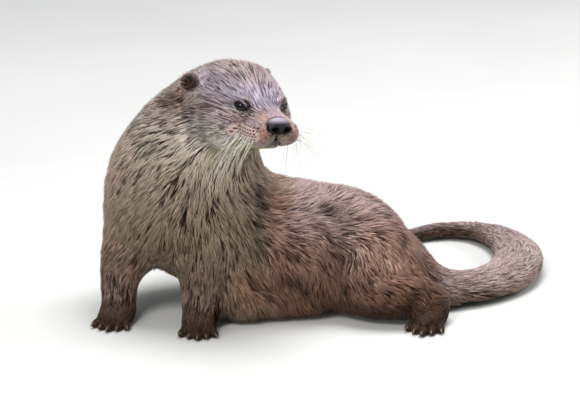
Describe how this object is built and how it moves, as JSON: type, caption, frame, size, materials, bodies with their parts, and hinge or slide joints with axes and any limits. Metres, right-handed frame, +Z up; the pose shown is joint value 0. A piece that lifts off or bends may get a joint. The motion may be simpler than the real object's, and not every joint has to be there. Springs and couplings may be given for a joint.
{
  "type": "eurasian otter model",
  "caption": "Life-size still model of a Eurasian otter resting on its belly and hindquarters, chest raised on straight forelegs, head turned left, tail curled behind.",
  "frame": {"origin": "on the floor, at the middle of the model's footprint", "axes": "+X from the chest towards the rump, +Y away from the side the head faces, +Z up"},
  "size_m": [0.455, 0.3618, 0.2626],
  "materials": {
    "coat_face": "short dense fur, grey-brown with a reddish muzzle",
    "coat_throat": "dense fur, pale grey-cream over brown",
    "coat_flank": "dense guard hair over underfur, reddish brown with pale tips",
    "coat_tail": "short close fur, grey-brown",
    "coat_paw": "very short fur, dark brown",
    "coat_ear": "very short fur",
    "eye": "wet gloss",
    "nose_pad": "fine-grained, slightly moist"
  },
  "bodies": {
    "root": {"head": "coat_face", "neck": "coat_throat", "chest": "coat_throat", "abdomen": "coat_flank", "rump": "coat_flank", "tail_base": "coat_tail", "tail_middle": "coat_tail", "tail_end": "coat_tail", "tail_tip": "coat_tail", "foreleg_left": "coat_flank", "foreleg_right": "coat_flank", "thigh_left": "coat_flank", "thigh_right": "coat_flank", "forepaw_left": "coat_paw", "forepaw_right": "coat_paw", "hindfoot_left": "coat_paw", "hindfoot_right": "coat_paw", "ear_left": "coat_ear", "ear_right": "coat_ear", "eye_left": "eye", "eye_right": "eye", "nose": "nose_pad"}
  },
  "joints": []
}
